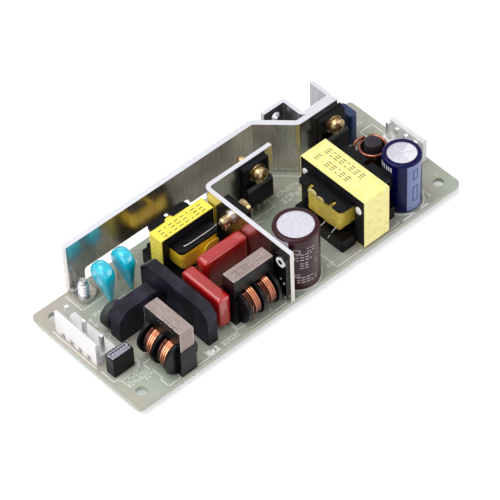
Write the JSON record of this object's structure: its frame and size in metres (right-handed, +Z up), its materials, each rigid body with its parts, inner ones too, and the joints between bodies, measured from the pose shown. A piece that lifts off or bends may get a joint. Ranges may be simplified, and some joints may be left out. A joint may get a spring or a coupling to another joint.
{
  "type": "open frame power supply",
  "caption": "Open frame switching power supply: a long circuit board with folded heatsinks, line filters, transformers, capacitors and pin headers at both ends.",
  "frame": {"origin": "centre of the mounting hole pattern, on the solder side of the board", "axes": "+X from the input end to the output end, +Y from the near edge to the main heatsink, +Z up from the component side"},
  "size_m": [0.132, 0.05, 0.0255],
  "materials": {
    "board": "glass-epoxy board with green solder mask and white print",
    "heatsink_aluminium": "mill finish rolled sheet",
    "bracket_steel": "plated sheet",
    "zinc_screw": "zinc plated",
    "yellow_screw": "yellow passivated",
    "tinned_lead": "tin plated",
    "white_nylon": "moulded",
    "black_mould": "moulded, slightly matt",
    "black_case": "moulded, satin",
    "blue_mask_case": "moulded, satin",
    "dark_disc": "dipped",
    "cyan_coating": "dipped epoxy",
    "red_coating": "dipped epoxy",
    "filter_ferrite": "ground ferrite",
    "dark_ferrite": "sintered ferrite",
    "copper_wire": "enamelled copper",
    "yellow_tape": "polyester tape",
    "taped_winding": "copper under polyester tape",
    "maroon_sleeve": "shrunk sleeve",
    "blue_sleeve": "shrunk sleeve",
    "can_aluminium": "drawn can",
    "rubber_seal": "moulded",
    "grey_pad": "silicone sheet",
    "solder": "solder"
  },
  "bodies": {
    "root": {"circuit_board": "board", "main_heatsink": "heatsink_aluminium", "inner_heatsink": "heatsink_aluminium", "rear_bracket": "bracket_steel", "ground_screw": "zinc_screw", "ground_washer": "zinc_screw", "device_screws": "yellow_screw", "spring_washers": "yellow_screw", "flat_washers": "yellow_screw", "bridge_screw": "zinc_screw", "bridge_insert": "zinc_screw", "insulating_pads": "grey_pad", "switching_transistor": "black_mould", "boost_diode": "black_mould", "output_rectifier": "black_mould", "bridge_rectifier": "black_mould", "device_leads": "tinned_lead", "lead_wires": "tinned_lead", "input_connector_housing": "white_nylon", "output_connector_housing": "white_nylon", "input_connector_pins": "tinned_lead", "output_connector_pins": "tinned_lead", "fuse": "black_mould", "thermistor": "dark_disc", "x_capacitor_small": "black_case", "x_capacitor_large": "black_case", "y_capacitor_front": "cyan_coating", "y_capacitor_rear": "cyan_coating", "line_filter_first_core": "filter_ferrite", "line_filter_first_bobbin": "black_mould", "line_filter_first_windings": "copper_wire", "line_filter_second_core": "filter_ferrite", "line_filter_second_bobbin": "black_mould", "line_filter_second_windings": "copper_wire", "film_capacitor_side": "red_coating", "film_capacitor_rear": "red_coating", "small_transformer_core": "dark_ferrite", "small_transformer_tape": "yellow_tape", "small_transformer_bobbin": "black_mould", "small_transformer_winding": "taped_winding", "main_transformer_core": "dark_ferrite", "main_transformer_tape": "yellow_tape", "main_transformer_bobbin": "black_mould", "main_transformer_winding": "taped_winding", "bulk_capacitor_can": "can_aluminium", "bulk_capacitor_sleeve": "maroon_sleeve", "bulk_capacitor_seal": "rubber_seal", "output_capacitor_can": "can_aluminium", "output_capacitor_sleeve": "blue_sleeve", "output_capacitor_seal": "rubber_seal", "output_choke_core": "dark_ferrite", "output_choke_winding": "copper_wire", "output_film_capacitor": "blue_mask_case", "control_chip": "black_mould", "optocoupler": "black_mould", "small_chips": "black_mould", "solder_joints": "solder"}
  },
  "joints": []
}
